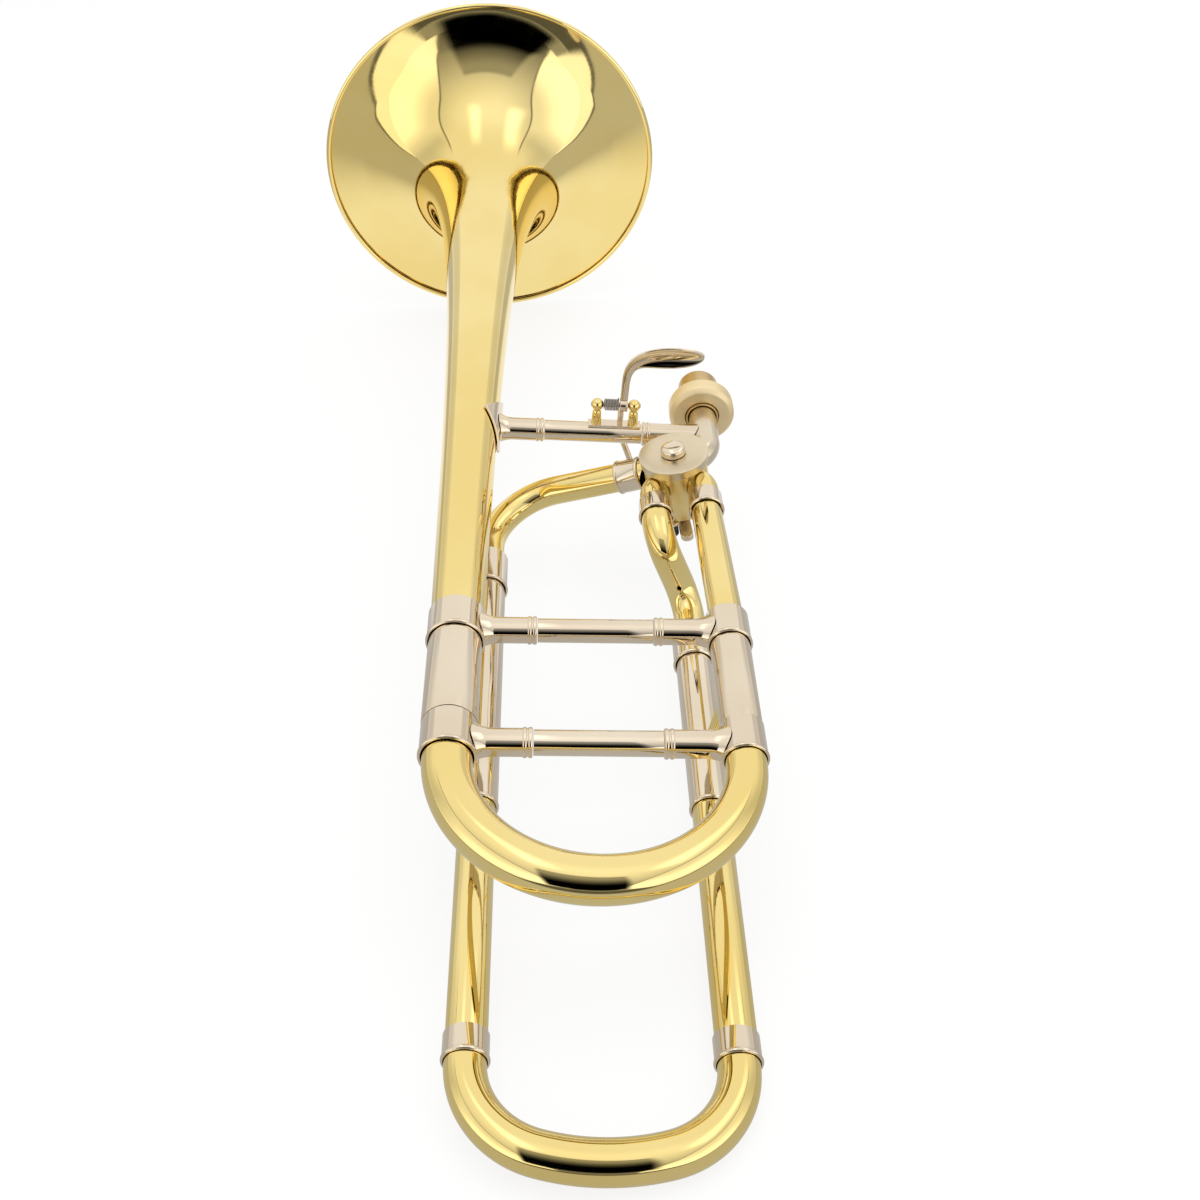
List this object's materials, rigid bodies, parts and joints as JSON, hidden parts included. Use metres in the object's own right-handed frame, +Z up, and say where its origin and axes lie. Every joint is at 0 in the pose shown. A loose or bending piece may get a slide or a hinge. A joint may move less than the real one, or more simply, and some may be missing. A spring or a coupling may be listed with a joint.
{
  "type": "tenor trombone bell section",
  "caption": "Bell section of a slide brass instrument with a rotary valve, a thumb lever, two tuning slides and a tenon with a lock nut for its hand slide.",
  "frame": {"origin": "middle of the bounding box, on the surface that the horn lies on", "axes": "+Z up as the horn lies on its bell rim and its F crook; the bell mouth faces +Y, and the side of the hand slide is +X"},
  "size_m": [0.241, 0.6828, 0.2149],
  "materials": {
    "lacquered_brass": "polished, clear lacquer",
    "nickel_silver": "polished",
    "satin_nickel": "satin",
    "satin_brass": "satin",
    "spring_steel": "satin",
    "black_bumper": "matt"
  },
  "bodies": {
    "horn": {"bell": "lacquered_brass", "bell_rim_wire": "spring_steel", "bell_stem_ferrule": "nickel_silver", "gooseneck_ferrule": "nickel_silver", "bell_side_sleeve": "nickel_silver", "gooseneck_side_sleeve": "nickel_silver", "bell_flange": "nickel_silver", "upper_brace_left_socket": "nickel_silver", "upper_brace_right_socket": "nickel_silver", "middle_brace_left_socket": "nickel_silver", "middle_brace_right_socket": "nickel_silver", "upper_brace_tube": "nickel_silver", "middle_brace_tube": "nickel_silver", "neckpipe": "nickel_silver", "gooseneck_knuckle": "lacquered_brass", "gooseneck_port_ferrule": "nickel_silver", "gooseneck": "lacquered_brass", "loop_knuckle": "lacquered_brass", "loop_port_ferrule": "nickel_silver", "loop_s_tube": "lacquered_brass", "f_port_knuckle": "lacquered_brass", "f_port_ferrule": "nickel_silver", "f_curve_tube": "lacquered_brass", "f_left_top_ferrule": "nickel_silver", "f_left_sleeve": "nickel_silver", "f_right_top_ferrule": "nickel_silver", "f_right_sleeve": "nickel_silver", "left_stay": "lacquered_brass", "right_stay": "lacquered_brass", "valve_casing": "lacquered_brass", "valve_bearing_plate": "satin_nickel", "valve_cap": "satin_nickel", "valve_cap_boss": "nickel_silver", "stop_plate": "nickel_silver", "stop_bumper_rest": "black_bumper", "stop_bumper_pressed": "black_bumper", "slide_tenon": "satin_brass", "lever_saddle": "lacquered_brass", "lever_pivot_rod": "spring_steel", "lever_return_spring": "spring_steel"},
    "main_tuning_slide": {"bell_side_inner_leg": "nickel_silver", "bell_side_crook_ferrule": "nickel_silver", "gooseneck_side_inner_leg": "nickel_silver", "gooseneck_side_crook_ferrule": "nickel_silver", "main_tuning_crook": "lacquered_brass", "lower_brace_left_socket": "nickel_silver", "lower_brace_right_socket": "nickel_silver", "lower_brace_tube": "nickel_silver"},
    "f_tuning_slide": {"f_left_leg": "lacquered_brass", "f_left_crook_ferrule": "nickel_silver", "f_right_leg": "lacquered_brass", "f_right_crook_ferrule": "nickel_silver", "f_tuning_crook": "lacquered_brass"},
    "thumb_lever": {"thumb_lever": "nickel_silver"},
    "link": {"link_rod": "nickel_silver"},
    "rotor": {"rotor": "satin_brass", "stop_arm": "nickel_silver", "shaft_screw": "spring_steel", "crank_screw": "spring_steel"},
    "lock_nut": {"lock_nut": "satin_nickel"}
  },
  "joints": [
    {"name": "main_tuning_slide_travel", "type": "slide", "parent": "horn", "child": "main_tuning_slide", "axis": [-0.0026, -0.9974, -0.0726], "range_m": [0, 0.045]},
    {"name": "f_tuning_slide_travel", "type": "slide", "parent": "horn", "child": "f_tuning_slide", "axis": [-0.0026, -0.9974, -0.0726], "range_m": [0, 0.08]},
    {"name": "thumb_lever_press", "type": "hinge", "parent": "horn", "child": "thumb_lever", "pos_m": [0.0635, 0.02239, 0.09363], "axis": [-0.9944, -0.0051, 0.1056], "range_deg": [0, 12.6], "stiffness_Nm_per_rad": 0.15, "springref_deg": -14.32},
    {"name": "link_pivot", "type": "hinge", "parent": "thumb_lever", "child": "link", "pos_m": [0.07104, 0.03266, 0.0487], "axis": [-0.9944, -0.0051, 0.1056], "range_deg": [-12.6, 0]},
    {"name": "rotor_turn", "type": "hinge", "parent": "horn", "child": "rotor", "pos_m": [0.08753, -0.00394, 0.06877], "axis": [-0.1037, -0.0719, 0.992], "range_deg": [0, 90]},
    {"name": "lock_nut_turn", "type": "hinge", "parent": "horn", "child": "lock_nut", "pos_m": [0.10466, 0.334, 0.09506], "axis": [0.0026, 0.9974, 0.0726], "continuous": true}
  ],
  "couplings": [
    {"joint": "rotor_turn", "follows": "thumb_lever_press", "ratio": 7.1429},
    {"joint": "link_pivot", "follows": "thumb_lever_press", "ratio": -1}
  ]
}
